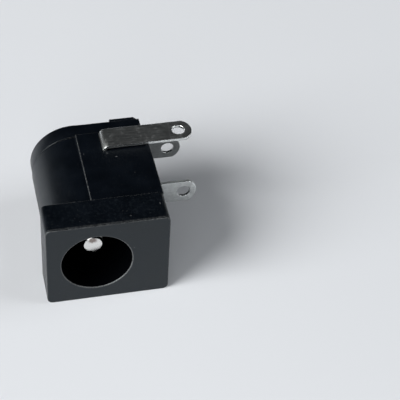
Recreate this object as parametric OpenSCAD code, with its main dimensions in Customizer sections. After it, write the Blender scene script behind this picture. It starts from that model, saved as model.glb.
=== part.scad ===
// Barrel power jack for a circuit board, laid on its side.
// Row frame: +X the way the solder tails point, +Y along the barrel from the mouth to the rear,
// +Z up, the side that carries the switch terminal. Origin: centre of the mouth, on the front face.
// The modules work in a board frame (x across, y from the front face back, z up from the board)
// and lay() turns the finished piece onto its side. All sizes are in millimetres.

/* [Housing] */
// Flange and body width, across the jack
flange_w = 9.0; // [8.6:0.1:10]
// Flange height above the board
flange_h = 11.0; // [10.8:0.1:12]
// Flange thickness, front face to its back
flange_t = 3.3; // [2.8:0.1:3.6]
// Rounding of the flange's four corners
flange_r = 0.5; // [0.2:0.1:0.8]
// Front face to the housing's rear end
body_l = 12.2; // [12.2:0.1:13]
// Radius of the rounded top of the body
body_r = 4.12; // [4.05:0.01:4.3]
// Height of the barrel axis above the board, which is also where the flat sides end
axis_h = 6.5; // [6.4:0.1:6.6]

/* [Bore and centre pin] */
// Diameter of the mouth that takes the plug barrel
mouth_d = 6.35; // [6.3:0.05:6.45]
// Depth of the mouth stretch, up to the slightly narrower inner bore
mouth_l = 2.1; // [1.6:0.1:2.2]
// Diameter of the bore behind the mouth stretch
bore_d = 6.0; // [5.9:0.05:6.0]
// Width of the countersink round the mouth
mouth_chamfer = 0.08; // [0.05:0.01:0.2]
// Diameter of the centre pin
pin_d = 2.0; // [1.9:0.05:2.1]
// Front face back to the tip of the pin
pin_setback = 2.15; // [2.15:0.05:2.6]
// Diameter of the pin's shank, through the cover and the terminal
shank_d = 1.5; // [1.3:0.05:1.6]
// Diameter of the rolled-over rim that rivets the pin
rivet_d = 2.6; // [2.3:0.1:2.8]
// Width of the slanted ring round the pin's domed tip
tip_chamfer = 0.17; // [0.1:0.01:0.25]
// Radius of the dome on the pin's tip
dome_r = 1.9; // [1.5:0.1:3]

/* [Metal strips] */
// Thickness of the three terminals
strip_t = 0.3; // [0.25:0.01:0.35]
// Width of the sleeve and pin terminals' tails
tail_w = 2.4; // [2.0:0.1:2.6]
// Diameter of the eye in each solder tail
eye_d = 1.2; // [1.0:0.05:1.4]
// Radius of the pin terminal's round head
head_r = 1.9; // [1.7:0.05:2.0]
// How far the sleeve terminal reaches below the board face
sleeve_tail = 4.15; // [3.6:0.05:4.6]
// How far the pin terminal reaches below the board face
pin_tail = 3.9; // [3.4:0.05:4.4]
// How far the switch terminal reaches below the board face
switch_tail = 4.15; // [3.6:0.05:4.6]
// Eye centre to the end of a tail
eye_end = 1.25; // [1.1:0.05:1.4]
// Front face to the front of the sleeve terminal's tail
sleeve_y = 7.67; // [7.6:0.01:7.7]
// Rear edge of the switch terminal to the rear of the housing
switch_gap = 0.15; // [0.1:0.05:0.3]
// Width of the switch terminal
switch_w = 2.45; // [2.2:0.05:2.45]

/* [Rear cover] */
// Thickness of the cover, the housing's rear to the cover's rear face
cover_t = 1.8; // [1.6:0.05:2.0]
// Radius of the cover's rounded top
cover_r = 4.05; // [3.9:0.01:4.1]
// Height of the two guard lugs behind the cover's rear face
lug_t = 0.55; // [0.4:0.05:0.7]
// Height of the lugs, up from the board side
lug_h = 2.95; // [2.6:0.05:3.1]

/* [Quality] */
// Facets per full circle on the turned shapes
round_fn = 64; // [48:8:96]

/* [Hidden] */
half_w = flange_w / 2;
flat_x = half_w - 0.05;                    // the body's flat sides, just inside the flange
channel_x = 1.7;                           // half the width of the board-side channel
channel_d = 0.5;                           // depth of its shallow front stretch
block_y = sleeve_y - 0.22;                 // the channel runs deep behind this
bed_x = 1.5;                               // half the width of the spring's bed in the bore floor
bed_y = 4.15;                              // front end of that bed
bed_z = 2.6;                               // its floor
pocket_y = body_l - 1.6;                   // the rear pocket starts here
pocket_r = 3.3;
slot_z = [4.03, 4.37];                     // slot for the switch terminal's inner leg
fit = 0.05;                                // clearance of the cover's parts in the housing
shank_fit = 0.01;                          // clearance of the shank in the cover and terminal
cover_x = cover_r - 0.03;                  // the cover's flat sides
cover_y = body_l + cover_t;                // its rear face
switch_y = body_l - switch_gap - switch_w; // front edge of the switch terminal
cover_z0 = 0.2;                            // the cover stops this far short of the board face
seam_y = 0.14;                             // groove left round the cover's front edge
recess_d = 0.15;                           // sinking of the pin terminal's head in the cover
strip_y = cover_y - recess_d;              // front face of the pin terminal
leg_z = slot_z[1] - 0.02 - strip_t;        // underside of the switch terminal's inner leg
switch_x = half_w + 0.1;                   // inner face of the switch terminal's tail
black = [0.06, 0.065, 0.07];
tin = [0.8, 0.8, 0.77];
nickel = [0.86, 0.86, 0.84];
$fn = round_fn;

// the one to draw

// turns a piece from the board frame into the row frame
module lay() rotate([0, -90, 0]) translate([0, 0, -axis_h]) children();

// a 2D shape drawn in (x, z), run along y from y0 to y1
module along(y0, y1) translate([0, y1, 0]) rotate([90, 0, 0]) linear_extrude(y1 - y0) children();

// a 2D shape drawn in (y, z), run along x from x0 to x1
module across(x0, x1)
    translate([x0, 0, 0]) rotate([90, 0, 90]) linear_extrude(x1 - x0) children();

// a round bar of radius r on the barrel axis
module barrel(r, y0, y1) along(y0, y1) translate([0, axis_h]) circle(r);

// a box from its two corners
module block(a, b) translate(a) cube(b - a);

// a tapered round bar on the barrel axis
module taper(r0, r1, y0, y1)
    translate([0, y0, axis_h]) rotate([-90, 0, 0]) cylinder(h = y1 - y0, r1 = r0, r2 = r1);

// rectangle with four true round corners
module round_rect(x0, z0, x1, z1, r) {
    translate([x0 + r, z0]) square([x1 - x0 - 2 * r, z1 - z0]);
    translate([x0, z0 + r]) square([x1 - x0, z1 - z0 - 2 * r]);
    for (x = [x0 + r, x1 - r], z = [z0 + r, z1 - r]) translate([x, z]) circle(r);
}

// flat-sided outline with a round top, as the body and the cover have
module arch(x, r, z0) {
    translate([-x, z0]) square([2 * x, axis_h - z0]);
    translate([0, axis_h]) circle(r);
}

// one solder tail in (across, z): straight sides, bowed end and an eye
module tail(w, top, reach) {
    bow = 0.72;
    r = (w * w / 4 + bow * bow) / (2 * bow);
    difference() {
        union() {
            translate([-w / 2, -reach + bow]) square([w, top + reach - bow]);
            intersection() {
                translate([0, -reach + r]) circle(r);
                translate([-w / 2, -reach - 1]) square([w, bow + 1.01]);
            }
        }
        translate([0, eye_end - reach]) circle(d = eye_d);
    }
}

// points of an arc round c, from angle a0 to a1
function arc(c, r, a0, a1, n = 10) =
    [for (i = [0:n]) let (a = a0 + (a1 - a0) * i / n) c + r * [cos(a), sin(a)]];

// a strip of thickness t along a path of points, as one closed outline
function unit(v) = v / norm(v);
function side(p, i) = let (
    a = unit(p[min(i + 1, len(p) - 1)] - p[min(i, len(p) - 2)]),
    b = unit(p[max(i, 1)] - p[max(i - 1, 0)]),
    m = unit(a + b)) [-m[1], m[0]] / max(0.5, m * a);
function ribbon(p, t) = concat(
    [for (i = [0:len(p) - 1]) p[i] + side(p, i) * t / 2],
    [for (i = [len(p) - 1:-1:0]) p[i] - side(p, i) * t / 2]);

module housing() color(black) lay() difference() {
    union() {
        along(0, flange_t) round_rect(-half_w, 0, half_w, flange_h, flange_r);
        along(flange_t, body_l) {
            translate([-flat_x, 0]) square([2 * flat_x, axis_h]);
            translate([0, axis_h]) circle(body_r);
        }
    }
    // mouth, inner bore and rear pocket, all on the barrel axis
    taper(mouth_d / 2 + mouth_chamfer + 0.1, mouth_d / 2 - 0.1, -0.1, mouth_chamfer + 0.1);
    barrel(mouth_d / 2, -1, mouth_l);
    barrel(bore_d / 2, mouth_l - 0.5, pocket_y + 0.5);
    barrel(pocket_r, pocket_y, body_l + 1);
    // board-side channel: shallow in front, deep where the spring and the cover's tongue go in
    block([-channel_x, flange_t, -1], [channel_x, block_y + 0.5, channel_d]);
    block([-channel_x, block_y, -1], [channel_x, body_l + 1, axis_h - 2]);
    // bed for the spring in the floor of the bore
    block([-bed_x, bed_y, bed_z], [bed_x, block_y + 0.5, axis_h - 2]);
    // slot for the switch terminal, open to the rear
    block([0.5, switch_y - fit, slot_z[0]], [half_w + 1, body_l + 1, slot_z[1]]);
    // round nose of that slot where the bent strip leaves the side
    block([flat_x - 0.35, switch_y - fit, slot_z[0] - 0.45], [half_w + 1, body_l + 1, slot_z[0] + 0.1]);
}

module rear_cover() color(black) lay() difference() {
    union() {
        along(body_l + seam_y, cover_y) arch(cover_x, cover_r, cover_z0);
        // the narrower neck that leaves a seam groove against the housing
        along(body_l, body_l + seam_y + 0.5) arch(cover_x - 0.16, cover_r - 0.16, cover_z0 + 0.16);
        // spigot that centres the cover in the rear pocket, clear of the switch leg
        intersection() {
            barrel(pocket_r - fit, pocket_y + fit, body_l + 0.5);
            block([-4, pocket_y, slot_z[1] + 0.13], [4, body_l + 0.5, flange_h]);
        }
        // tongue that closes the channel behind the sleeve tail, its underside sloping
        across(-channel_x + fit, channel_x - fit) polygon([
            [sleeve_y + strip_t + 0.08, 0.62], [body_l + 0.3, 0.27], [body_l + 0.3, 2.3],
            [sleeve_y + strip_t + 0.38, 2.3], [sleeve_y + strip_t + 0.08, 2.0]]);
        for (s = [-1, 1]) lug(s);
    }
    // hole for the pin's shank
    barrel(shank_d / 2 + shank_fit, pocket_y - 1, cover_y + 1);
    // sinking for the terminal's head and the strip below it
    along(strip_y, cover_y + 1) {
        translate([0, axis_h]) circle(head_r + 0.3);
        translate([-tail_w / 2 - 0.08, -1]) square([tail_w + 0.16, axis_h]);
        translate([0, 3.1]) square([1.85, axis_h - 3.1]);
    }
    // short slot beside the head
    block([1.93, cover_y - 0.5, 3.85], [2.08, cover_y + 1, 4.95]);
}

// guard lug on side s, its outer corner cut back at the board end
module lug(s) {
    in_x = s * 1.45;
    out_x = s * (cover_x - 0.2);
    z0 = cover_z0 - 0.08;
    along(cover_y - 0.3, cover_y + lug_t) polygon([
        [in_x, z0], [out_x - s * 0.45, z0], [out_x, z0 + 0.5], [out_x, lug_h], [in_x, lug_h]]);
}

// turned pin: domed tip, collar against the spigot, shank and rolled rim
module centre_pin() color(nickel) lay() difference() {
    r = pin_d / 2;
    face_r = r - tip_chamfer;
    dome = dome_r - sqrt(dome_r * dome_r - face_r * face_r);
    tip_y = pin_setback + dome;
    union() {
        // shallow dome, slanted ring and the plain pin behind it
        intersection() {
            translate([0, pin_setback + dome_r, axis_h]) rotate([90, 0, 0]) sphere(dome_r, $fn = 96);
            barrel(face_r, pin_setback, tip_y + 0.01);
        }
        taper(face_r, r, tip_y, tip_y + tip_chamfer);
        barrel(r, tip_y + tip_chamfer, pocket_y);
        barrel(r + 0.4, pocket_y - 0.35, pocket_y + fit - 0.01);
        barrel(shank_d / 2, pocket_y - 0.1, strip_y + strip_t + 0.3);
        // the rim rolled over the terminal
        translate([0, strip_y + strip_t, axis_h]) rotate([-90, 0, 0]) rotate_extrude() {
            square([rivet_d / 2 - 0.16, 0.32]);
            translate([rivet_d / 2 - 0.16, 0.16]) circle(0.16, $fn = 24);
        }
    }
    // hollow left in the riveted end
    barrel(0.55, strip_y + strip_t - 0.5, cover_y + 2);
    taper(0.55, 0.8, strip_y + strip_t + 0.12, strip_y + strip_t + 0.4);
}

// flat strip behind the cover, with a round head under the rivet
module pin_terminal() color(tin) lay() difference() {
    union() {
        along(strip_y, strip_y + strip_t) {
            tail(tail_w, axis_h, pin_tail);
            translate([0, axis_h]) circle(head_r);
            // shoulder on the switch side, which meets the head on a tangent
            polygon([[0, axis_h - 3.4], [tail_w / 2, axis_h - 3.3], [tail_w / 2 + strip_t, axis_h - 2.85],
                [head_r - 0.02, axis_h - 0.3], [0, axis_h]]);
        }
        // low raised ring round the rivet
        taper(head_r - 0.24, head_r - 0.4, strip_y + strip_t - 0.01, strip_y + strip_t + 0.09);
        // stop nub pressed out of the shank
        intersection() {
            translate([-0.1, strip_y + strip_t - 0.28, 2.6]) sphere(0.46, $fn = 32);
            block([-1, strip_y + 0.1, 2], [1, cover_y + 2, 3.2]);
        }
    }
    barrel(shank_d / 2 + shank_fit, strip_y - 1, strip_y + strip_t + 1);
    barrel(rivet_d / 2 + shank_fit, strip_y + strip_t, cover_y + 2);
}

// path of the sleeve terminal in (y, z): tail up, forward along the bed, back over as the contact
sleeve_mid = sleeve_y + strip_t / 2;
base_z = bed_z + fit + strip_t / 2;
leaf_y = sleeve_y - 2.87;                  // centre of the bend back over itself
leaf_l = body_l - 1.2 - leaf_y;            // from there to the leaf's free end
crown = 3.5 * strip_t;                     // height of the top of the leaf over its base
sleeve_path = concat(
    [[sleeve_mid, base_z - 0.7]],
    arc([sleeve_mid - 0.5, base_z - 0.5], 0.5, 0, 90),
    arc([leaf_y, base_z + 0.4], 0.4, 270, 110, 14),
    [for (p = [[0.13, 0.86], [0.29, 0.98], [0.4, 1.01], [0.52, 0.98], [0.71, 0.86], [0.87, 0.9]])
        [leaf_y + leaf_l * p[0], base_z + crown * p[1]]],
    [[leaf_y + leaf_l, leg_z - strip_t / 2 - 0.03]]);

module sleeve_spring() color(tin) lay() {
    // tail, flat across the jack
    along(sleeve_y, sleeve_y + strip_t) tail(tail_w, base_z - 0.6, sleeve_tail);
    across(-tail_w / 2, tail_w / 2) polygon(ribbon(sleeve_path, strip_t));
}

// strip on the side of the body: tail with an eye, bent in through the slot as a contact leg
module switch_terminal() color(tin) lay() {
    mid_x = switch_x + strip_t / 2;
    bend = 0.42;
    top = leg_z + strip_t / 2;
    path = concat([[mid_x, 1.5]], arc([mid_x - bend, top - bend], bend, 0, 90), [[2.2, top], [-1.6, top]]);
    translate([switch_x, switch_y + switch_w / 2, 0]) rotate([90, 0, 90]) linear_extrude(strip_t)
        tail(switch_w, 1.6, switch_tail);
    intersection() {
        along(switch_y, switch_y + switch_w) polygon(ribbon(path, strip_t));
        // the leg is narrower inside the bore
        union() {
            block([2.3, 0, -2], [half_w + 1, body_l + 1, axis_h]);
            block([-4, switch_y + 0.5, 0], [2.4, switch_y + switch_w - 0.45, axis_h]);
        }
    }
}

housing();
rear_cover();
centre_pin();
pin_terminal();
sleeve_spring();
switch_terminal();
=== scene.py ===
from math import acos, atan2, cos, degrees, hypot, pi, radians, sin, sqrt

import bmesh
import bpy
from bpy.props import FloatProperty, FloatVectorProperty, PointerProperty
from mathutils import Matrix, Vector


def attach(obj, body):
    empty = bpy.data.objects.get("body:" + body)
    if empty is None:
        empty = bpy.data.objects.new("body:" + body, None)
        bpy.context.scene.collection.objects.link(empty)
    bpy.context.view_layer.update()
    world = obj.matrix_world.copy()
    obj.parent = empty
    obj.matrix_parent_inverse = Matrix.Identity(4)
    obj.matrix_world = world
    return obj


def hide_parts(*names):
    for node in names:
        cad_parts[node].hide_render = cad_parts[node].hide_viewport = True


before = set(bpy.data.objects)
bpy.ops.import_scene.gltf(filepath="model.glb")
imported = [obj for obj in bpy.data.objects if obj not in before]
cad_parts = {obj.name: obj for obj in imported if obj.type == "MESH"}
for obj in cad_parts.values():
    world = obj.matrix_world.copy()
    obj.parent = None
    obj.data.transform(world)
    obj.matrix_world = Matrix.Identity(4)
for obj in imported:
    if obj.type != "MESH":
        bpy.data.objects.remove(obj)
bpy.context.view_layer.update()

bl_info = {
    "name": "Barrel power jack",
    "version": (1, 0, 0),
    "blender": (4, 5, 0),
    "location": "3D View > Sidebar > Power jack",
    "description": "Builds a board-mounted barrel power jack piece by piece, with its stage",
    "category": "Add Mesh",
}

MM = 0.001

# fixed details of the mouldings and strips, in millimetres
RUN_OUT = 1.0  # how far a cut passes the face that it opens
FIT = 0.05  # clearance of the cover and the switch terminal in the housing
LAP = 0.5  # how far one shape runs on into the next, so that they join
CHANNEL_HALF = 1.7  # half the width of the board-side channel
CHANNEL_DEPTH = 0.5  # depth of its shallow front stretch
CHANNEL_LEAD = 0.22  # its deep stretch starts this far ahead of the sleeve tail
CHANNEL_ROOF = 2.0  # and ends this far below the barrel axis
BED_HALF = 1.5  # half the width of the spring's bed in the bore's floor
BED_FRONT = 4.15  # front end of that bed
BED_FLOOR = 2.6  # its floor above the board
POCKET_DEPTH = 1.6  # reach of the rear pocket into the housing
POCKET_RADIUS = 3.3
SLOT_FLOOR = 4.03  # floor of the slot for the switch terminal's inner leg
SLOT_PLAY = 0.04  # height of that slot over the strip's thickness
SLOT_GAP = 0.02  # gap left above the leg in its slot
NECK_SINK = 0.16  # depth of the seam groove round the cover
COVER_LIFT = 0.2  # the cover stops this far short of the board
SIDE_INSET = 0.03  # the cover's flat sides stand this far inside its round top
SINKING = 0.15  # how far the pin terminal sits in the cover
SINKING_RADIUS = 2.2  # the round part of the sinking, about the terminal's head
SHANK_PLAY = 0.01  # clearance of the pin's shank
TAIL_BOW = 0.72  # height of the bowed end of a solder tail
STRIP_EDGE = 0.045  # rounding of the strips' punched edges
STRIP_SHARP = 35  # the strips' edges sharper than this many degrees are rounded

# shares of light that fixed marks reflect
# pale dust and nicks, and the painted highlights along the housing's edges
SPECK_AND_HIGHLIGHT = (0.15, 0.155, 0.155)
# painted highlight round the mouth
RIM_HIGHLIGHT = (0.13, 0.135, 0.135)
HAZE = (0.0035, 0.006, 0.009)
# painted reflection: a dark brown patch on the pin's tip
TIP_REFLECTION = (0.2, 0.155, 0.135)
SHEEN_TINT = (0.86, 0.96, 1.0, 1.0)

# small marks on the housing's upper side and front: place in millimetres, length, width and strength
NICKS = (
    (2.45, 9.2, 4.45, 0.10, 0.06, 0.8), (3.2, 8.6, 4.45, 0.14, 0.05, 0.9), (0.35, 9.4, 4.45, 0.06, 0.09, 0.4),
    (5.9, 1.9, 4.5, 0.05, 0.16, 0.6), (3.1, 0.8, 4.5, 0.12, 0.05, 0.4), (3.3, 0.0, 1.3, 0.05, 0.05, 0.8),
)

# lamps: place in metres, size and colour
KEY = ((-0.80, -0.285, 0.52), 0.70, (1.0, 0.995, 0.985))
FILL = ((-0.40, -0.90, 0.50), 0.75, (0.97, 0.985, 1.0))
SIDE = ((0.75, -0.10, 0.75), 0.70, (0.97, 0.985, 1.0))
ROOM = (0.75, 0.87, 1.0, 1.0)
CAMERA_PLACE = (-0.013976, -0.084409, 0.089458)
CAMERA_TURN = (46.3416, -2.7479, -12.5964)


# ---------------------------------------------------------------- settings


def length(name, description, default_mm, low=0.01, high=30.0):
    """A size in metres that is written here in millimetres."""
    return FloatProperty(
        name=name, description=description, default=default_mm * MM, min=low * MM, max=high * MM,
        unit="LENGTH", precision=5,
    )


def colour(name, description, default):
    return FloatVectorProperty(
        name=name, description=description, default=default, size=3, min=0.0, max=1.0, subtype="COLOR",
    )


def share(name, description, default, high=1.0):
    return FloatProperty(
        name=name, description=description, default=default, min=0.0, max=high, subtype="FACTOR",
    )


def power(name, description, default):
    return FloatProperty(
        name=name, description=description, default=default, min=0.0, max=50.0, unit="POWER",
    )


class JackHousingSizes(bpy.types.PropertyGroup):
    flange_width: length("Flange width", "Width of the square front flange", 9.0)
    flange_height: length("Flange height", "Height of the flange above the board", 11.0)
    flange_depth: length("Flange depth", "Front face to the back of the flange", 3.3)
    corner_radius: length("Corner radius", "Rounding of the flange's four long corners", 0.5)
    body_length: length("Body length", "Front face to the rear of the housing", 12.2)
    flat_inset: length("Side inset", "How far the body's flat sides stand inside the flange", 0.05, 0.0)
    top_radius: length("Top radius", "Radius of the body's rounded top", 4.12)
    axis_height: length("Axis height", "Height of the barrel axis above the board", 6.5)
    mouth_diameter: length("Mouth diameter", "Diameter of the mouth that takes the plug", 6.35)
    mouth_depth: length("Mouth depth", "Depth of the wider mouth stretch", 2.1)
    bore_diameter: length("Bore diameter", "Diameter of the bore behind the mouth", 6.0)
    edge_radius: length("Edge radius", "Rounding of the outer moulded edges", 0.07)


class JackCoverSizes(bpy.types.PropertyGroup):
    rear_face: length("Rear face", "Front face of the jack to the cover's rear face", 14.0)
    radius: length("Top radius", "Radius of the cover's rounded top", 4.05)
    seam: length("Seam", "Width of the groove left round the cover's front edge", 0.14)
    lug_depth: length("Lug depth", "How far the two guard lugs stand out to the rear", 0.55)
    lug_height: length("Lug height", "Height of the lugs above the board side", 2.95)
    edge_radius: length("Edge radius", "Rounding of the cover's outer edges", 0.06)


class JackMetalSizes(bpy.types.PropertyGroup):
    strip: length("Strip thickness", "Thickness of the three terminals", 0.3)
    tail_width: length("Tail width", "Width of the sleeve and pin terminals' tails", 2.4)
    eye_diameter: length("Eye diameter", "Diameter of the eye in each solder tail", 1.2)
    eye_to_end: length("Eye to end", "Centre of an eye to the end of its tail", 1.25)
    sleeve_reach: length("Sleeve reach", "How far the sleeve terminal reaches below the board face", 4.15)
    pin_reach: length("Pin terminal reach", "How far the pin terminal reaches below the board face", 3.9)
    switch_reach: length("Switch reach", "How far the switch terminal reaches below the board face", 4.15)
    sleeve_place: length("Sleeve place", "Front face of the jack to the front of the sleeve tail", 7.67)
    switch_place: length("Switch place", "Front face of the jack to the edge of the switch strip", 9.6)
    switch_width: length("Switch width", "Width of the switch strip", 2.45)
    pin_diameter: length("Pin diameter", "Diameter of the centre pin", 2.0)
    pin_setback: length("Pin setback", "Front face of the jack back to the tip of the pin", 2.15)
    tip_chamfer: length("Tip chamfer", "Width of the slanted ring round the pin's domed tip", 0.17)
    dome_radius: length("Dome radius", "Radius of the slight dome on the pin's tip", 12.0)
    head_radius: length("Head radius", "Radius of the pin terminal's round head", 1.9)
    shank_diameter: length("Shank diameter", "Diameter of the pin's shank through the cover", 1.5)
    rim_diameter: length("Rim diameter", "Diameter of the pin's rolled-over rim", 2.6)


class JackFinish(bpy.types.PropertyGroup):
    moulding: colour("Moulding", "Colour of the moulded plastic", (0.0004, 0.0012, 0.0030))
    sheen: share("Moulding roughness", "Roughness of the satin moulding", 0.36)
    tin: colour("Tin", "Colour of the tin-plated strip", (0.70, 0.72, 0.71))
    tin_roughness: share("Tin roughness", "Roughness of the tin plate", 0.33)
    nickel: colour("Nickel", "Colour of the plated pin", (0.86, 0.855, 0.83))
    nickel_roughness: share("Nickel roughness", "Roughness of the plated pin", 0.15)


class JackStage(bpy.types.PropertyGroup):
    table: colour("Table", "Colour of the table", (0.694, 0.714, 0.744))
    key_power: power("Key lamp", "Power of the main lamp, on the left", 16.7)
    fill_power: power("Fill lamp", "Power of the lamp in front", 2.6)
    side_power: power("Side lamp", "Power of the lamp on the right", 3.75)
    ambient: share("Ambient", "Strength of the light from all round", 0.008, 2.0)
    lens: FloatProperty(
        name="Lens", description="Focal length of the camera", default=126.0, min=10.0, max=500.0,
        unit="CAMERA",
    )


class JackSettings(bpy.types.PropertyGroup):
    housing: PointerProperty(type=JackHousingSizes)
    cover: PointerProperty(type=JackCoverSizes)
    metal: PointerProperty(type=JackMetalSizes)
    finish: PointerProperty(type=JackFinish)
    stage: PointerProperty(type=JackStage)


def mm(value):
    """Metres from a setting, as the millimetres that the outlines are drawn in."""
    return value / MM


# ------------------------------------------------------------ solid shapes
# Shapes are drawn in millimetres in the board frame: x across the jack, y from its front face back,
# z up from the board. lay_down() turns a finished piece onto its side and into metres.


def solid(name, bm):
    """The object made of a finished bmesh."""
    bmesh.ops.recalc_face_normals(bm, faces=bm.faces[:])
    mesh = bpy.data.meshes.new(name)
    bm.to_mesh(mesh)
    bm.free()
    obj = bpy.data.objects.new(name, mesh)
    bpy.context.scene.collection.objects.link(obj)
    return obj


def bar(outline, axis, low, high, name="bar"):
    """A solid of one outline run along an axis: (x, z) along y, (y, z) along x, (x, y) along z."""
    place = {
        "x": lambda a, b, h: (h, a, b),
        "y": lambda a, b, h: (a, h, b),
        "z": lambda a, b, h: (a, b, h),
    }[axis]
    bm = bmesh.new()
    near = [bm.verts.new(place(a, b, low)) for a, b in outline]
    far = [bm.verts.new(place(a, b, high)) for a, b in outline]
    bm.faces.new(near)
    bm.faces.new(far[::-1])
    for i in range(len(outline)):
        j = (i + 1) % len(outline)
        bm.faces.new((near[i], near[j], far[j], far[i]))
    return solid(name, bm)


def block(x0, x1, y0, y1, z0, z1):
    return bar([(x0, z0), (x1, z0), (x1, z1), (x0, z1)], "y", y0, y1)


def turned(profile, axis_z, steps=96, name="turned", x=0.0):
    """A solid turned about the barrel axis from a profile of (y, radius)."""
    tiny = 1e-6
    bm = bmesh.new()
    rings = []
    for k, (y, r) in enumerate(profile):
        if r > tiny:
            turn = [2 * pi * i / steps for i in range(steps)]
            rings.append([bm.verts.new((x + r * cos(a), y, axis_z + r * sin(a))) for a in turn])
        elif abs(profile[1 if k == 0 else k - 1][0] - y) < tiny:
            rings.append(None)  # a flat end, closed with one face
        else:
            rings.append([bm.verts.new((x, y, axis_z))])
    for a, b in zip(rings, rings[1:]):
        if a is None or b is None:
            bm.faces.new(a or b)
            continue
        for i in range(steps):
            j = (i + 1) % steps
            if len(a) == 1:
                bm.faces.new((a[0], b[i], b[j]))
            elif len(b) == 1:
                bm.faces.new((a[i], a[j], b[0]))
            else:
                bm.faces.new((a[i], a[j], b[j], b[i]))
    return solid(name, bm)


def disc(y0, y1, r, axis_z, steps=96, x=0.0):
    """A plain round bar on the barrel axis, or on another line along y."""
    return turned([(y0, 0), (y0, r), (y1, r), (y1, 0)], axis_z, steps, x=x)


def arc(cx, cy, r, start, end, steps):
    """Points of an arc, angles in degrees."""
    turns = [radians(start + (end - start) * i / steps) for i in range(steps + 1)]
    return [(cx + r * cos(a), cy + r * sin(a)) for a in turns]


def rounded_rectangle(x0, z0, x1, z1, r, steps=8):
    return (
        arc(x1 - r, z0 + r, r, -90, 0, steps) + arc(x1 - r, z1 - r, r, 0, 90, steps)
        + arc(x0 + r, z1 - r, r, 90, 180, steps) + arc(x0 + r, z0 + r, r, 180, 270, steps)
    )


def arch(flat, radius, z0, axis_z, steps=64):
    """Flat-sided outline with a round top, as the body and the cover have."""
    low = [(-flat, z0), (flat, z0)]
    if flat > radius + 1e-3:
        return low + [(flat, axis_z)] + arc(0, axis_z, radius, 0, 180, steps) + [(-flat, axis_z)]
    start = degrees(acos(flat / radius))
    return low + arc(0, axis_z, radius, -start, 180 + start, steps)


def tail_end(width, reach, steps=20):
    """The bowed end of a solder tail, from one straight side round to the other."""
    r = (width * width / 4 + TAIL_BOW * TAIL_BOW) / (2 * TAIL_BOW)
    half = degrees(atan2(width / 2, r - TAIL_BOW))
    return arc(0, -reach + r, r, -90 - half, -90 + half, steps)


def combine(base, tools, operation="DIFFERENCE"):
    """Cuts the tools from the base, or joins them to it, and removes them."""
    for tool in tools:
        step = base.modifiers.new("combine", "BOOLEAN")
        step.object = tool
        step.operation = operation
        step.solver = "EXACT"
        graph = bpy.context.evaluated_depsgraph_get()
        mesh = bpy.data.meshes.new_from_object(base.evaluated_get(graph), depsgraph=graph)
        base.modifiers.remove(step)
        old, base.data = base.data, mesh
        bpy.data.meshes.remove(old)
        spent = tool.data
        bpy.data.objects.remove(tool)
        bpy.data.meshes.remove(spent)
    if not base.data.polygons:
        raise RuntimeError(f"{base.name} came out empty")
    return base


def clean(bm):
    """Joins doubled points and drops the edges that cut up a flat face."""
    bmesh.ops.remove_doubles(bm, verts=bm.verts[:], dist=2e-4)
    bmesh.ops.dissolve_limit(bm, angle_limit=radians(0.4), verts=bm.verts[:], edges=bm.edges[:])
    bmesh.ops.dissolve_degenerate(bm, dist=1e-4, edges=bm.edges[:])


def soften(obj, widest, rule, segments=3, sharp=28, crisp=14, inner=None):
    """Rounds the sharp outer edges and keeps every inner corner crisp.

    The rule gives each edge's width in millimetres from its middle point. Outer edges of more than
    sharp degrees are rounded, and other edges of more than crisp degrees stay crisp. The rounded faces
    take the piece's second material, which shows the rubbing that edges get and any painted highlights,
    and inner faces its third, which is painted shade.
    """
    bm = bmesh.new()
    bm.from_mesh(obj.data)
    clean(bm)
    weights = bm.edges.layers.float
    weight = weights.get("bevel_weight_edge") or weights.new("bevel_weight_edge")
    for edge in bm.edges:
        if len(edge.link_faces) != 2:
            raise RuntimeError(f"{obj.name} has an open edge")
        angle = edge.calc_face_angle_signed(0.0)
        a, b = edge.verts
        width = rule((a.co + b.co) / 2) if angle > radians(sharp) else 0.0
        if width > 0:
            edge[weight] = min(1.0, width / widest)
        elif abs(angle) > radians(crisp):
            edge.smooth = False
    for face in bm.faces:
        face.smooth = True
        face.material_index = 2 if inner and inner(face.calc_center_median()) else 0
    bm.to_mesh(obj.data)
    bm.free()
    step = obj.modifiers.new("rounded edges", "BEVEL")
    step.limit_method = "WEIGHT"
    step.width = widest * MM
    step.segments = segments
    step.profile = 0.5
    step.use_clamp_overlap = False
    step.loop_slide = False
    step.material = 1
    obj.modifiers.new("even shading", "WEIGHTED_NORMAL").keep_sharp = True


def soften_strip(strip):
    """Rounds the punched edges of a strip, all by the same small width."""
    soften(strip, 0.05, lambda p: STRIP_EDGE, 2, STRIP_SHARP)


def lay_down(obj, axis_z):
    """From the board frame in millimetres to the jack on its side in metres."""
    obj.data.transform(Matrix(((0, 0, -MM, axis_z * MM), (0, MM, 0, 0), (MM, 0, 0, 0), (0, 0, 0, 1))))
    obj.data.update()


def seat(obj, node, slot, *looks):
    """Puts a finished piece on the part's body in place of its solid.

    The looks are the materials of its faces, its rounded edges and, where it has one, its inside, which is
    painted shade.
    """
    obj.name = obj.data.name = node + "_skin"
    for look in looks:
        obj.data.materials.append(look)
    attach(obj, "root")
    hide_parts(node)


# ------------------------------------------------------------ bent strips


def distances(path):
    """How far along the path each of its points lies."""
    marks = [0.0]
    for a, b in zip(path, path[1:]):
        marks.append(marks[-1] + (b - a).length)
    return marks


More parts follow.
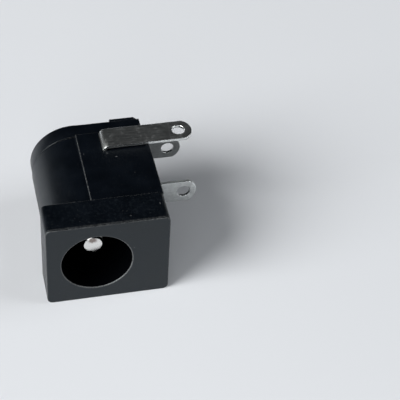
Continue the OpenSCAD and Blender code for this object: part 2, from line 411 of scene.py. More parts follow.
def bent_strip(name, outline, eye, thickness, path, place):
    """A flat blank, drawn as (across, along), with its eye punched, then bent along a path.

    The path starts where along is 0; below that the strip runs straight on. place() takes the across
    value and the two path coordinates to a point.
    """
    blank = bar(outline, "z", -thickness / 2, thickness / 2, name)
    sides = 48
    across, along, r = eye
    punch = bar(arc(across, along, r, 0, 360 - 360 / sides, sides - 1), "z", -thickness, thickness)
    combine(blank, [punch])
    marks = distances(path)
    bm = bmesh.new()
    bm.from_mesh(blank.data)
    clean(bm)
    for s in marks[:-1]:
        bmesh.ops.bisect_plane(
            bm, geom=bm.verts[:] + bm.edges[:] + bm.faces[:], dist=1e-5, plane_co=(0, s, 0),
            plane_no=(0, 1, 0),
        )
    last = len(path) - 1
    tangents = [(path[min(i + 1, last)] - path[max(i - 1, 0)]).normalized() for i in range(last + 1)]
    for vert in bm.verts:
        across, s, h = vert.co
        if s <= 0:
            spot, way = path[0] + tangents[0] * s, tangents[0]
        else:
            k = min(max(i for i, m in enumerate(marks) if m <= s + 1e-6), last - 1)
            t = (s - marks[k]) / (marks[k + 1] - marks[k])
            spot = path[k].lerp(path[k + 1], t)
            way = tangents[k].lerp(tangents[k + 1], min(1.0, t)).normalized()
        spot = spot + Vector((-way.y, way.x)) * h
        vert.co = place(across, spot.x, spot.y)
    bmesh.ops.recalc_face_normals(bm, faces=bm.faces[:])
    bm.to_mesh(blank.data)
    bm.free()
    return blank


# ---------------------------------------------------------------- finishes


class Nodes:
    """Short way to write a material's node tree."""

    def __init__(self, name):
        self.material = bpy.data.materials.get(name) or bpy.data.materials.new(name)
        self.material.use_nodes = True
        self.tree = self.material.node_tree
        self.tree.nodes.clear()
        self.out = self.add("ShaderNodeOutputMaterial")
        self.shader = self.add("ShaderNodeBsdfPrincipled")
        self.link(self.shader.outputs["BSDF"], self.out.inputs["Surface"])
        self.place = self.add("ShaderNodeTexCoord").outputs["Object"]

    def add(self, kind, **values):
        node = self.tree.nodes.new(kind)
        for key, value in values.items():
            setattr(node, key, value)
        return node

    def link(self, a, b):
        self.tree.links.new(a, b)

    def feed(self, socket, value):
        if isinstance(value, bpy.types.NodeSocket):
            self.link(value, socket)
        else:
            socket.default_value = value

    def look(self, **sockets):
        """Sets the shader's inputs, with spaces written as underscores."""
        for key, value in sockets.items():
            self.feed(self.shader.inputs[key.replace("_", " ")], value)

    def scaled(self, scale, turn=(0, 0, 0), shift=(0, 0, 0)):
        """Object coordinates in millimetres, then scaled."""
        node = self.add("ShaderNodeMapping")
        node.inputs["Scale"].default_value = [s / MM for s in scale]
        node.inputs["Rotation"].default_value = turn
        node.inputs["Location"].default_value = shift
        self.link(self.place, node.inputs["Vector"])
        return node.outputs["Vector"]

    def plain(self, shift=(0, 0, 0)):
        return self.scaled((1, 1, 1), shift=shift)

    def noise(self, vector, scale, detail, roughness):
        node = self.add("ShaderNodeTexNoise")
        self.link(vector, node.inputs["Vector"])
        node.inputs["Scale"].default_value = scale
        node.inputs["Detail"].default_value = detail
        node.inputs["Roughness"].default_value = roughness
        return node.outputs["Fac"]

    def cells(self, vector, scale):
        node = self.add("ShaderNodeTexVoronoi")
        self.link(vector, node.inputs["Vector"])
        node.inputs["Scale"].default_value = scale
        return node.outputs["Distance"]

    def math(self, operation, a, b=0.0):
        node = self.add("ShaderNodeMath", operation=operation)
        for socket, value in zip(node.inputs, (a, b)):
            self.feed(socket, value)
        return node.outputs[0]

    def ranged(self, value, low, high, to_low=0.0, to_high=1.0):
        """The value spread from low and high to the two given ends, and held there."""
        node = self.add("ShaderNodeMapRange", clamp=True)
        keys = ("Value", "From Min", "From Max", "To Min", "To Max")
        for key, v in zip(keys, (value, low, high, to_low, to_high)):
            self.feed(node.inputs[key], v)
        return node.outputs["Result"]

    def mixed(self, amount, a, b):
        node = self.add("ShaderNodeMix", data_type="RGBA")
        self.feed(node.inputs["Factor"], amount)
        for key, v in ((6, a), (7, b)):
            self.feed(node.inputs[key], v if isinstance(v, bpy.types.NodeSocket) else tuple(v) + (1.0,))
        return node.outputs[2]

    def split(self):
        """The object's x, y and z in millimetres."""
        node = self.add("ShaderNodeSeparateXYZ")
        self.link(self.place, node.inputs["Vector"])
        return [self.math("DIVIDE", out, MM) for out in node.outputs]

    def size_of(self, vector):
        node = self.add("ShaderNodeVectorMath", operation="LENGTH")
        self.link(vector, node.inputs[0])
        return node.outputs["Value"]

    def from_axis(self, x, z):
        """Distance from the barrel axis."""
        return self.math("SQRT", self.math("ADD", self.math("MULTIPLY", x, x), self.math("MULTIPLY", z, z)))

    def bumped(self, height, strength, distance_mm, under=None):
        node = self.add("ShaderNodeBump")
        node.inputs["Strength"].default_value = strength
        node.inputs["Distance"].default_value = distance_mm * MM
        self.link(height, node.inputs["Height"])
        if under is not None:
            self.link(under, node.inputs["Normal"])
        return node.outputs["Normal"]


def times(c, k):
    return tuple(min(1.0, v * k) for v in c)


def moulded_plastic(name, finish, grain, flecks, rubbed=0.0, nicks=(), rim=None, bands=(), worn=None):
    """Black moulded plastic: a satin skin with fine grain, flow clouds, dust and nicks.

    grain and flecks are strengths, rubbed that of the chipped spots on edges. rim is the radius of the
    mouth, round which a bright line is painted as a painted highlight. bands are (axis, low, high, strength)
    where pale bands are painted along edges, as painted highlights that are partly wear, and the skin
    ahead of worn is handled more than the rest.
    """
    n = Nodes(name)
    base = tuple(finish.moulding)
    plain = n.plain()
    clouds = n.noise(plain, 0.45, 4, 0.6)
    fine = n.noise(plain, 9.0, 4, 0.65)
    pits = n.ranged(n.cells(plain, 7.0), 0.0, 0.45)
    shade = n.mixed(n.ranged(clouds, 0.3, 0.7), times(base, 0.7), times(base, 1.4))
    scuff = n.ranged(n.noise(n.plain((3.1, 7.7, 1.3)), 2.4, 6, 0.7), 0.62, 0.8)
    if worn:
        fore = n.ranged(n.split()[1], worn + 0.02, worn - 0.02)
        blotch = n.ranged(n.noise(n.plain((6.5, 1.9, 2.8)), 3.4, 6, 0.75), 0.5, 0.72)
        scuff = n.math("MAXIMUM", scuff, n.math("MULTIPLY", fore, blotch))
    shade = n.mixed(scuff, shade, HAZE)
    # pale specks of dust, few and small, and finer grit between them
    dust = n.ranged(n.cells(n.plain((0.4, 5.2, 9.1)), 1.9), 0.05, 0.02)
    grit = n.ranged(n.noise(n.plain((8.4, 2.2, 4.1)), 11.0, 2, 0.5), 0.72, 0.78)
    marks = n.math("MAXIMUM", n.math("MULTIPLY", dust, flecks), n.math("MULTIPLY", grit, 0.35 * flecks))
    for x, y, z, long, wide, strength in nicks:
        away = n.size_of(n.scaled((1 / long, 1 / wide, 1 / wide), shift=(-x / long, -y / wide, -z / wide)))
        soft = n.math("ADD", away, n.math("MULTIPLY", fine, 0.9))
        marks = n.math("MAXIMUM", marks, n.ranged(soft, 1.4, 0.9, 0.0, strength))
    if rubbed:
        chips = n.ranged(n.noise(n.plain((1.7, 0.6, 3.3)), 3.6, 5, 0.75), 0.5, 0.66)
        marks = n.math("MAXIMUM", marks, n.math("MULTIPLY", chips, rubbed))
    # pale bands painted along edges: painted highlights, partly wear
    for axis, low, high, strength in bands:
        reach = n.split()[axis]
        fade = 0.05
        inside = n.math("MULTIPLY", n.ranged(reach, low - fade, low), n.ranged(reach, high + fade, high))
        broken = n.ranged(fine, 0.42, 0.62, 0.1 * strength, strength)
        marks = n.math("MAXIMUM", marks, n.math("MULTIPLY", inside, broken))
    # dust, grit, nicks, chips and the painted highlight bands share one pale colour
    shade = n.mixed(marks, shade, SPECK_AND_HIGHLIGHT)
    if rim:
        # a painted highlight: a bright line round the mouth
        x, y, z = n.split()
        out = n.from_axis(x, z)
        near = n.math("MULTIPLY", n.ranged(out, rim + 0.22, rim + 0.12), n.ranged(y, 0.2, 0.1))
        shade = n.mixed(n.math("MULTIPLY", near, n.ranged(fine, 0.4, 0.62, 0.15, 1.0)), shade, RIM_HIGHLIGHT)
    rough = n.ranged(clouds, 0.3, 0.7, finish.sheen - 0.04, finish.sheen + 0.05)
    rough = n.math("ADD", rough, n.ranged(fine, 0.3, 0.7, -0.03, 0.05))
    rough = n.math("ADD", rough, n.math("MULTIPLY", n.math("MAXIMUM", scuff, marks), 0.15))
    low = n.bumped(fine, 0.35 * grain, 0.012)
    skin = n.bumped(pits, 0.5 * grain, 0.01, low)
    n.look(Base_Color=shade, Roughness=rough, IOR=1.5, Specular_Tint=SHEEN_TINT, Normal=skin)
    return n.material


def bore_painted_shade(finish):
    """Painted shade: the moulding made darker and matt deep in the bore and in the seam, with faint rings
    left by the mould's core pin.
    """
    n = Nodes("bore matt painted shade")
    y = n.split()[1]
    ring = n.add("ShaderNodeTexNoise", noise_dimensions="1D")
    n.link(n.math("MULTIPLY", y, 3.0), ring.inputs["W"])
    ring = ring.outputs["Fac"]
    dark = times(tuple(finish.moulding), 0.3)
    shade = n.mixed(n.ranged(ring, 0.3, 0.7), times(dark, 0.6), dark)
    rough = n.ranged(ring, 0.3, 0.7, 0.62, 0.75)
    n.look(Base_Color=shade, Roughness=rough, Specular_IOR_Level=0.02, Normal=n.bumped(ring, 0.1, 0.01))
    return n.material


def tin_plate(name, finish, painted_light_tone, crease=None):
    """Tin-plated strip, rolled along x, with clouding, crossing scratches and handling marks.

    crease is where a faint line pressed across the strip meets the plane of the front face. The factor
    after finish scales the tin's colour as painted light and shade, making each strip darker or brighter.
    """
    n = Nodes(name)
    base = times(tuple(finish.tin), painted_light_tone)
    rolled = n.noise(n.scaled((0.3, 5.5, 5.5)), 2.0, 5, 0.6)
    plain = n.plain()
    clouds = n.noise(plain, 1.1, 4, 0.6)
    fine = n.noise(plain, 6.0, 5, 0.7)
    spots = n.ranged(n.noise(n.plain((5, 2, 8)), 2.6, 6, 0.7), 0.52, 0.7)
    shade = n.mixed(n.ranged(clouds, 0.3, 0.7), times(base, 0.8), times(base, 1.06))
    shade = n.mixed(n.math("MULTIPLY", spots, 0.6), shade, times(base, 0.62))
    shade = n.mixed(n.ranged(fine, 0.35, 0.7, 0.0, 0.35), shade, times(base, 1.1))
    # hair scratches in three directions
    scratches = None
    for turn, shift in ((0.35, 1.0), (-0.9, 4.0), (1.3, 7.0)):
        along = n.scaled((0.5, 12.0, 12.0), (0, 0, turn), (shift, shift, shift))
        line = n.ranged(n.noise(along, 1.1, 2, 0.4), 0.66, 0.7)
        scratches = line if scratches is None else n.math("MAXIMUM", scratches, line)
    shade = n.mixed(n.math("MULTIPLY", scratches, 0.5), shade, times(base, 1.2))
    if crease:
        x, y, z = n.split()
        slant = n.math("MULTIPLY", y, 0.09)
        off = n.math("ABSOLUTE", n.math("SUBTRACT", n.math("SUBTRACT", x, crease), slant))
        shade = n.mixed(n.ranged(off, 0.09, 0.03, 0.0, 0.7), shade, times(base, 1.4))
    rough = n.ranged(rolled, 0.3, 0.7, finish.tin_roughness - 0.05, finish.tin_roughness + 0.07)
    rough = n.math("ADD", rough, n.math("MULTIPLY", spots, 0.14))
    low = n.bumped(rolled, 0.3, 0.01)
    mid = n.bumped(fine, 0.25, 0.008, low)
    skin = n.bumped(scratches, 0.35, 0.006, mid)
    n.look(Base_Color=shade, Roughness=rough, Metallic=1.0, Normal=skin)
    return n.material


def punched_tin(name, finish, painted_light_tone):
    """The punched edges of a tin-plated strip, made brighter than the faces as a painted highlight, with the
    fine upright tears of the punch.
    """
    n = Nodes(name)
    base = times(tuple(finish.tin), painted_light_tone)
    tears = n.noise(n.scaled((9, 9, 1.2)), 1.4, 4, 0.6)
    shade = n.mixed(n.ranged(tears, 0.35, 0.65), times(base, 0.85), times(base, 1.1))
    rough = n.ranged(tears, 0.3, 0.7, finish.tin_roughness - 0.16, finish.tin_roughness - 0.04)
    n.look(Base_Color=shade, Roughness=rough, Metallic=1.0, Normal=n.bumped(tears, 0.2, 0.01))
    return n.material


def plated_pin(name, finish):
    """Bright plated pin: fine rings from the lathe, round the barrel axis."""
    n = Nodes(name)
    base = tuple(finish.nickel)
    x, y, z = n.split()
    radius = n.from_axis(x, z)
    rings = n.add("ShaderNodeTexNoise", noise_dimensions="1D")
    n.link(n.math("ADD", n.math("MULTIPLY", radius, 13.0), n.math("MULTIPLY", y, 11.0)), rings.inputs["W"])
    rings.inputs["Scale"].default_value = 1.6
    rings.inputs["Detail"].default_value = 4.0
    rings = rings.outputs["Fac"]
    clouds = n.noise(n.plain(), 1.6, 4, 0.6)
    shade = n.mixed(n.ranged(clouds, 0.35, 0.7), times(base, 0.9), base)
    # a painted reflection: a dark brown patch near the upper rim of the tip, with a broken outline
    away = n.size_of(n.scaled((2.0, 0.2, 3.0), shift=(0.1, 0, -1.75)))
    grit = n.noise(n.plain(), 6.0, 5, 0.7)
    reflection_patch = n.ranged(n.math("ADD", away, n.math("MULTIPLY", grit, 1.4)), 1.85, 1.35)
    shade = n.mixed(n.math("MULTIPLY", reflection_patch, 0.85), shade, TIP_REFLECTION)
    rough = n.ranged(rings, 0.3, 0.7, finish.nickel_roughness - 0.06, finish.nickel_roughness + 0.08)
    rough = n.math("ADD", rough, n.math("MULTIPLY", reflection_patch, 0.15))
    n.look(Base_Color=shade, Roughness=rough, Metallic=1.0, Normal=n.bumped(rings, 0.22, 0.01))
    return n.material


# ------------------------------------------------------------------ pieces


def slot_height(strip):
    """Floor and top of the slot for the switch terminal's inner leg."""
    return SLOT_FLOOR, SLOT_FLOOR + strip + SLOT_PLAY


class JACK_OT_housing(bpy.types.Operator):
    """Builds the moulded housing: flange, round-topped body, bore, channel and slots"""

    bl_idname = "jack.housing"
    bl_label = "Housing"

    def execute(self, context):
        s, m = context.scene.jack.housing, context.scene.jack.metal
        half, axis_z = mm(s.flange_width) / 2, mm(s.axis_height)
        front, rear = mm(s.flange_depth), mm(s.body_length)
        flat, top = half - mm(s.flat_inset), mm(s.top_radius)
        mouth, bore, deep = mm(s.mouth_diameter) / 2, mm(s.bore_diameter) / 2, mm(s.mouth_depth)
        pocket, past, out = rear - POCKET_DEPTH, rear + RUN_OUT, half + RUN_OUT
        channel, roof = mm(m.sleeve_place) - CHANNEL_LEAD, axis_z - CHANNEL_ROOF
        slot, slot_top = slot_height(mm(m.strip))
        slot_front = mm(m.switch_place) - FIT

        outline = rounded_rectangle(-half, 0, half, mm(s.flange_height), mm(s.corner_radius))
        body = bar(outline, "y", 0, front, "housing")
        combine(body, [bar(arch(flat, top, 0, axis_z), "y", front, rear)], "UNION")
        hollow = [
            (-RUN_OUT, 0), (-RUN_OUT, mouth), (deep, mouth), (deep, bore), (pocket, bore),
            (pocket, POCKET_RADIUS), (past, POCKET_RADIUS), (past, 0),
        ]
        combine(body, [
            turned(hollow, axis_z),
            block(-CHANNEL_HALF, CHANNEL_HALF, front, channel + LAP, -RUN_OUT, CHANNEL_DEPTH),
            block(-CHANNEL_HALF, CHANNEL_HALF, channel, past, -RUN_OUT, roof),
            block(-BED_HALF, BED_HALF, BED_FRONT, channel + LAP, BED_FLOOR, roof),
            # the slot, and its deeper outer end where the strip bends down the side
            block(0.5, out, slot_front, past, slot, slot_top),
            block(flat - 0.35, out, slot_front, past, slot - 0.45, slot + 0.1),
        ])
        edge, fine, near = mm(s.edge_radius), 0.03, 0.02

        def rule(p):
            from_axis = hypot(p.x, p.z - axis_z)
            if p.y < near and abs(from_axis - mouth) < 0.05:
                return edge * 1.15
            if p.y > 0.1 and from_axis < POCKET_RADIUS + 0.3:
                return 0.0
            if abs(p.z - axis_z) < near and p.y > front - 0.1:
                # the outer edges of the ledges beside the round top, and edges further in
                return edge * 1.1 if abs(p.x) > top + 0.05 else 0.04
            low_down = p.z < 5 and abs(p.x) < 4
            if p.y > front + 0.1 and (low_down or slot - 0.5 < p.z < slot_top + 0.1):
                return fine
            if abs(p.y - front) < near:
                # the flange stands out by far less at its sides than on top, and by nothing low down
                if p.z > axis_z + top:
                    return fine + (edge - fine) * min(1.0, 2 * (half - abs(p.x)))
                return max(0.0, min(fine, 0.15 * (p.z - 0.33)))
            return edge

        def in_bore(p):
            return 0.2 < p.y < rear - 0.1 and hypot(p.x, p.z - axis_z) < mouth + 0.05

        soften(body, 0.1, rule, inner=in_bore)
        lay_down(body, axis_z)
        look = context.scene.jack.finish
        # a faint pale line just behind the front face, partly wear and partly a painted highlight
        front_wear_and_highlight = ((1, 0.1, 0.24, 0.3),)
        # painted highlights along the flange's back edge, the front edge, the ledges and the board side,
        # broken up like wear
        edge_highlights_and_wear = (
            (1, front - 0.1, front + 0.1, 1.8), (1, -0.1, 0.2, 0.4), (0, -0.15, 0.15, 0.4),
            (0, 6.3, 6.6, 0.45),
        )
        seat(
            body, "housing", "housing_black",
            moulded_plastic("housing satin black", look, 1.0, 0.8, nicks=NICKS, bands=front_wear_and_highlight, worn=front),
            moulded_plastic("housing rubbed edge and painted highlights", look, 1.0, 1.0, 0.7, rim=mouth, bands=edge_highlights_and_wear),
            bore_painted_shade(look),
        )
        return {"FINISHED"}


class JACK_OT_rear_cover(bpy.types.Operator):
    """Builds the moulded rear cover: plate, guard lugs, tongue and spigot"""

    bl_idname = "jack.rear_cover"
    bl_label = "Rear cover"

    def execute(self, context):
        h, s, m = context.scene.jack.housing, context.scene.jack.cover, context.scene.jack.metal
        axis_z, front, rear = mm(h.axis_height), mm(h.body_length), mm(s.rear_face)
        radius, plate = mm(s.radius), front + mm(s.seam)
        flat, sleeve = radius - SIDE_INSET, mm(m.sleeve_place) + mm(m.strip)
        pocket, past, low = front - POCKET_DEPTH, rear + RUN_OUT, COVER_LIFT
        cover = bar(arch(flat, radius, low, axis_z), "y", plate, rear, "rear_cover")
        waist = arch(flat - NECK_SINK, radius - NECK_SINK, low + NECK_SINK, axis_z)
        neck = bar(waist, "y", front, plate + LAP)
        spigot = disc(pocket + FIT, front + LAP, POCKET_RADIUS - FIT, axis_z)
        clear_of_leg = slot_height(mm(m.strip))[1] + 0.13
        combine(spigot, [block(-4, 4, pocket - RUN_OUT, front + RUN_OUT, 0, clear_of_leg)])
        tongue = bar(
            [
                (sleeve + 0.08, 0.62), (front + 0.3, 0.27), (front + 0.3, 2.3), (sleeve + 0.38, 2.3),
                (sleeve + 0.08, 2.0),
            ],
            "x", -CHANNEL_HALF + FIT, CHANNEL_HALF - FIT,
        )
        lugs = []
        lug_in, lug_out, lug_low, lug_top = 1.45, flat - 0.2, low - 0.08, mm(s.lug_height)
        points = [
            (lug_in, lug_low), (lug_out - 0.45, lug_low), (lug_out, lug_low + 0.5), (lug_out, lug_top),
            (lug_in, lug_top),
        ]
        for side in (-1, 1):
            lug = [(side * x, z) for x, z in points]
            lugs.append(bar(lug, "y", rear - 0.3, rear + mm(s.lug_depth)))
        combine(cover, [neck, spigot, tongue] + lugs, "UNION")
        sunk, tail = rear - SINKING, mm(m.tail_width) / 2 + 0.08
        combine(cover, [
            disc(pocket - POCKET_DEPTH, past, mm(m.shank_diameter) / 2 + SHANK_PLAY, axis_z, 48),
            disc(sunk, past, SINKING_RADIUS, axis_z),
            block(-tail, tail, sunk, past, -RUN_OUT, axis_z - 1),
            block(0, 1.85, sunk, past, 3.1, axis_z),
            # short slit beside the terminal's head
            block(1.93, 2.08, rear - 0.5, past, 3.85, 4.95),
        ])
        edge = mm(s.edge_radius)

        def rule(p):
            in_round = hypot(p.x, p.z - axis_z) < SINKING_RADIUS + 0.1
            in_sinking = in_round or abs(p.x) < 1.4 and p.z < axis_z
            if p.y < plate + 0.01 or in_sinking:
                return 0.025
            inside = abs(p.x) < 2.2 and p.z < axis_z + 2.5
            if rear - 0.2 < p.y < rear + 0.05 and (inside or p.z < lug_top + 0.1):
                return 0.03
            return edge

        def in_seam(p):
            return front - 0.01 < p.y < plate + 0.001

        soften(cover, 0.08, rule, inner=in_seam)
        lay_down(cover, axis_z)
        look = context.scene.jack.finish
        seat(
            cover, "rear_cover", "cover_black",
            moulded_plastic("cover satin black", look, 0.8, 0.7),
            moulded_plastic("cover rubbed edge", look, 0.8, 1.0, 0.7),
            bore_painted_shade(look),
        )
        return {"FINISHED"}


class JACK_OT_centre_pin(bpy.types.Operator):
    """Builds the turned centre pin with its riveted rear end"""

    bl_idname = "jack.centre_pin"
    bl_label = "Centre pin"

    def execute(self, context):
        h, m, c = context.scene.jack.housing, context.scene.jack.metal, context.scene.jack.cover
        axis_z, r = mm(h.axis_height), mm(m.pin_diameter) / 2
        tip, shank, rim = mm(m.pin_setback), mm(m.shank_diameter) / 2, mm(m.rim_diameter) / 2
        face = mm(c.rear_face) - SINKING + mm(m.strip)
        face_r, dome_r = r - mm(m.tip_chamfer), mm(m.dome_radius)
        pocket, collar, roll, rise = mm(h.body_length) - POCKET_DEPTH, 0.4, 0.16, 0.001

        profile = [(tip, 0)]
        rings = 12
        for out in [face_r * i / rings for i in range(1, rings + 1)]:
            profile.append((tip + dome_r - sqrt(dome_r * dome_r - out * out), out))
        profile.append((profile[-1][0] + r - face_r, r))
        # collar against the spigot, then the shank
        profile += [
            (pocket - 0.4, r), (pocket - 0.35, r + 0.05), (pocket - 0.35, r + collar - 0.04),
            (pocket - 0.31, r + collar), (pocket + 0.04, r + collar), (pocket + 0.04, shank),
            (face + rise, shank), (face + rise, rim - roll),
        ]
        # rim rolled over the terminal, and the hollow left in it
        for a in range(15, 181, 15):
            back = face + roll - (roll - rise) * cos(radians(a))
            profile.append((back, rim - roll + roll * sin(radians(a))))
        hollow = (
            (0.315, 0.86), (0.25, 0.74), (0.12, 0.6), (-0.02, 0.55), (-0.42, 0.55), (-0.5, 0.46),
            (-0.52, 0),
        )
        profile += [(face + along, out) for along, out in hollow]

        pin = turned(profile, axis_z, name="centre_pin")
        soften(pin, 0.03, lambda p: 0.012, 2, 40, 16)
        lay_down(pin, axis_z)
        nickel = plated_pin("turned nickel", context.scene.jack.finish)
        seat(pin, "centre_pin", "pin_nickel", nickel, nickel)
        return {"FINISHED"}


class JACK_OT_pin_terminal(bpy.types.Operator):
    """Builds the flat terminal behind the cover, with its head, raised ring and nub"""

    bl_idname = "jack.pin_terminal"
    bl_label = "Pin terminal"

    def execute(self, context):
        h, m, c = context.scene.jack.housing, context.scene.jack.metal, context.scene.jack.cover
        axis_z, strip, y0 = mm(h.axis_height), mm(m.strip), mm(c.rear_face) - SINKING
        y1, reach, side = y0 + strip, mm(m.pin_reach), mm(m.tail_width) / 2
        head, shank, rim = mm(m.head_radius), mm(m.shank_diameter) / 2, mm(m.rim_diameter) / 2
        eye_z, before, past = mm(m.eye_to_end) - reach, y0 - RUN_OUT, y1 + RUN_OUT

        # tail, the shoulder on the switch side, and the head back to the tail's other side
        outline = tail_end(2 * side, reach)
        outline += [(side, axis_z - 3.3), (side + 0.06, axis_z - 3.22), (side + strip, axis_z - 2.85)]
        meet = degrees(acos(-side / head))
        outline += arc(0, axis_z, head, -9, 360 - meet, 56)
        plate = bar(outline, "y", y0, y1, "pin_terminal")
        ring = [
            (y1 - 0.12, 0), (y1 - 0.12, head - 0.24), (y1 + 0.03, head - 0.25), (y1 + 0.07, head - 0.3),
            (y1 + 0.09, head - 0.38), (y1 + 0.09, 0),
        ]
        nub, nub_z, sunk = 0.46, 2.6, 0.28
        dome = [(y1 - sunk + nub * sin(radians(a)), nub * cos(radians(a))) for a in range(10, 81, 10)]
        dome = [(y1 - 0.15, 0), (y1 - 0.15, nub)] + dome + [(y1 + nub - sunk, 0)]
        combine(plate, [turned(ring, axis_z), turned(dome, nub_z, 40, x=-0.1)], "UNION")
        combine(plate, [
            disc(before, past, shank + SHANK_PLAY, axis_z, 48),
            disc(y1, past, rim + SHANK_PLAY, axis_z),
            disc(before, past, mm(m.eye_diameter) / 2, eye_z, 48),
        ])
        soften_strip(plate)
        lay_down(plate, axis_z)
        look = context.scene.jack.finish
        seat(
            # painted shade: this tin is made much darker, and its edges brighter as a painted highlight
            plate, "pin_terminal", "terminal_tin",
            tin_plate("terminal tin plate", look, 0.52), punched_tin("terminal punched edge", look, 0.9),
        )
        return {"FINISHED"}


class JACK_OT_sleeve_spring(bpy.types.Operator):
    """Builds the sleeve terminal: a tail bent forward and back over itself as a contact leaf"""

    bl_idname = "jack.sleeve_spring"
    bl_label = "Sleeve spring"

    def execute(self, context):
        h, m = context.scene.jack.housing, context.scene.jack.metal
        t, width, reach = mm(m.strip), mm(m.tail_width), mm(m.sleeve_reach)
        mid, base = mm(m.sleeve_place) + t / 2, BED_FLOOR + FIT + t / 2
        start, bend, fold, fold_at, contact_gap = base - 0.7, 0.5, 0.4, 4.8, 0.03
        leaf_end = SLOT_FLOOR + SLOT_PLAY - SLOT_GAP - t / 2 - contact_gap
        # the leaf's curve from the fold back: place and height over the strip below
        leaf = (
            (5.6, 0.9), (6.1, 0.97), (6.6, 1.03), (7.3, 1.06), (8.0, 1.03), (8.6, 0.96), (9.2, 0.9),
            (9.7, 0.9), (10.2, 0.95),
        )
        path = [(mid, start)]
        path += arc(mid - bend, base - bend, bend, 0, 90, 10)
        path += arc(fold_at, base + fold, fold, 270, 110, 16)
        path += [(y, base + rise) for y, rise in leaf]
        path.append((11.0, leaf_end))
        path = [Vector(p) for p in path]
        run = distances(path)[-1]
        outline = [(width / 2, run), (-width / 2, run)]
        outline += [(x, z - start) for x, z in tail_end(width, reach)]
        eye = (0.0, mm(m.eye_to_end) - reach - start, mm(m.eye_diameter) / 2)
        strip = bent_strip("sleeve_spring", outline, eye, t, path, lambda across, a, b: (across, a, b))
        soften_strip(strip)
        lay_down(strip, mm(h.axis_height))
        look = context.scene.jack.finish
        # painted light: this tin is made a little darker, and its edges brighter as a painted highlight
        seat(
            strip, "sleeve_spring", "spring_tin",
            tin_plate("spring tin plate", look, 0.96), punched_tin("spring punched edge", look, 1.2),
        )
        return {"FINISHED"}


class JACK_OT_switch_terminal(bpy.types.Operator):
    """Builds the switch terminal: a strip down the side, bent in through its slot"""

    bl_idname = "jack.switch_terminal"
    bl_label = "Switch terminal"

    def execute(self, context):
        h, m = context.scene.jack.housing, context.scene.jack.metal
        t, half, reach = mm(m.strip), mm(m.switch_width) / 2, mm(m.switch_reach)
        centre = mm(m.switch_place) + half
        mid = mm(h.flange_width) / 2 + 0.1 + t / 2
        start, bend, top = 1.5, 0.42, SLOT_FLOOR + SLOT_PLAY - SLOT_GAP + t / 2
        # up the side, round the bend and in across the bore
        path = [(mid, start)] + arc(mid - bend, top - bend, bend, 0, 90, 12) + [(2.2, top), (-1.6, top)]
        path = [Vector(p) for p in path]
        run, leg_length = distances(path)[-1], 3.9
        # the leg is narrower inside the bore than the strip outside
        step_at, leg_front, leg_rear = run - leg_length, 0.5 - half, half - 0.45
        outline = [(leg_rear, run), (leg_front, run), (leg_front, step_at), (-half, step_at)]
        outline += [(x, z - start) for x, z in tail_end(2 * half, reach)]
        outline += [(half, step_at), (leg_rear, step_at)]
        eye = (0.0, mm(m.eye_to_end) - reach - start, mm(m.eye_diameter) / 2)
        strip = bent_strip(
            "switch_terminal", outline, eye, t, path, lambda across, a, b: (a, centre + across, b),
        )
        soften_strip(strip)
        lay_down(strip, mm(h.axis_height))
        look = context.scene.jack.finish
        # painted light: this tin is made brighter, and its edges brighter still as a painted highlight
        seat(
            strip, "switch_terminal", "switch_tin",
            tin_plate("switch tin plate", look, 1.16, crease=7.58),
            punched_tin("switch punched edge", look, 1.25),
        )
        return {"FINISHED"}


# ------------------------------------------------------------------- stage


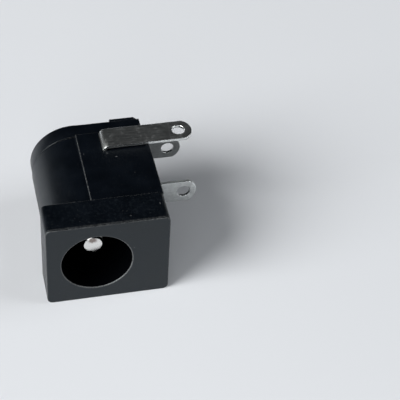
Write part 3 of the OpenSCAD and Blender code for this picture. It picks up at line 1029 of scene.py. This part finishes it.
class JACK_OT_stage(bpy.types.Operator):
    """Builds the table, the lamps and the camera"""

    bl_idname = "jack.stage"
    bl_label = "Table, lamps and camera"

    def execute(self, context):
        s, scene = context.scene.jack.stage, context.scene
        bm = bmesh.new()
        bmesh.ops.create_grid(bm, x_segments=4, y_segments=4, size=0.6)
        table = solid("table", bm)
        table.location.z = -context.scene.jack.housing.flange_width / 2
        n = Nodes("pale table")
        cloud = n.ranged(n.noise(n.plain(), 0.02, 2, 0.5), 0.3, 0.7)
        shade = n.mixed(cloud, times(tuple(s.table), 0.98), times(tuple(s.table), 1.01))
        n.look(Base_Color=shade, Roughness=0.6, Specular_IOR_Level=0.2)
        table.data.materials.append(n.material)

        self.lamp("left softbox", *KEY, s.key_power)
        self.lamp("front softbox", *FILL, s.fill_power)
        self.lamp("right softbox", *SIDE, s.side_power)

        world = bpy.data.worlds.new("room")
        world.use_nodes = True
        back = world.node_tree.nodes["Background"]
        back.inputs["Color"].default_value = ROOM
        back.inputs["Strength"].default_value = s.ambient
        scene.world = world

        lens = bpy.data.cameras.new("camera")
        lens.lens = s.lens
        lens.sensor_width = 36.0
        lens.clip_start = 0.005
        lens.clip_end = 10.0
        camera = bpy.data.objects.new("camera", lens)
        camera.location = CAMERA_PLACE
        camera.rotation_euler = [radians(a) for a in CAMERA_TURN]
        scene.collection.objects.link(camera)
        scene.camera = camera
        scene.view_settings.view_transform = "Standard"
        return {"FINISHED"}

    def lamp(self, name, place, size, tint, energy):
        """A round soft lamp that faces the jack."""
        data = bpy.data.lights.new(name, "AREA")
        data.shape = "DISK"
        data.size = size
        data.energy = energy
        data.color = tint
        lamp = bpy.data.objects.new(name, data)
        lamp.location = place
        lamp.rotation_euler = (-Vector(place)).to_track_quat("-Z", "Y").to_euler()
        bpy.context.scene.collection.objects.link(lamp)


class JACK_PT_panel(bpy.types.Panel):
    """Settings and builders of the power jack"""

    bl_idname = "JACK_PT_panel"
    bl_label = "Power jack"
    bl_space_type = "VIEW_3D"
    bl_region_type = "UI"
    bl_category = "Power jack"

    def draw(self, context):
        for group in ("housing", "cover", "metal", "finish", "stage"):
            box = self.layout.box()
            box.label(text=group.capitalize())
            settings = getattr(context.scene.jack, group)
            for key in settings.bl_rna.properties.keys():
                if key not in ("rna_type", "name"):
                    box.prop(settings, key)
        for operator in BUILDERS:
            self.layout.operator(operator.bl_idname)


SETTINGS = (JackHousingSizes, JackCoverSizes, JackMetalSizes, JackFinish, JackStage, JackSettings)
BUILDERS = (
    JACK_OT_housing, JACK_OT_rear_cover, JACK_OT_centre_pin, JACK_OT_pin_terminal,
    JACK_OT_sleeve_spring, JACK_OT_switch_terminal, JACK_OT_stage,
)


def register():
    for cls in SETTINGS + BUILDERS + (JACK_PT_panel,):
        bpy.utils.register_class(cls)
    bpy.types.Scene.jack = PointerProperty(type=JackSettings)


def unregister():
    del bpy.types.Scene.jack
    for cls in reversed(SETTINGS + BUILDERS + (JACK_PT_panel,)):
        bpy.utils.unregister_class(cls)


def main():
    register()
    bpy.ops.jack.housing()
    bpy.ops.jack.rear_cover()
    bpy.ops.jack.centre_pin()
    bpy.ops.jack.pin_terminal()
    bpy.ops.jack.sleeve_spring()
    bpy.ops.jack.switch_terminal()
    bpy.ops.jack.stage()


if __name__ == "__main__":
    main()
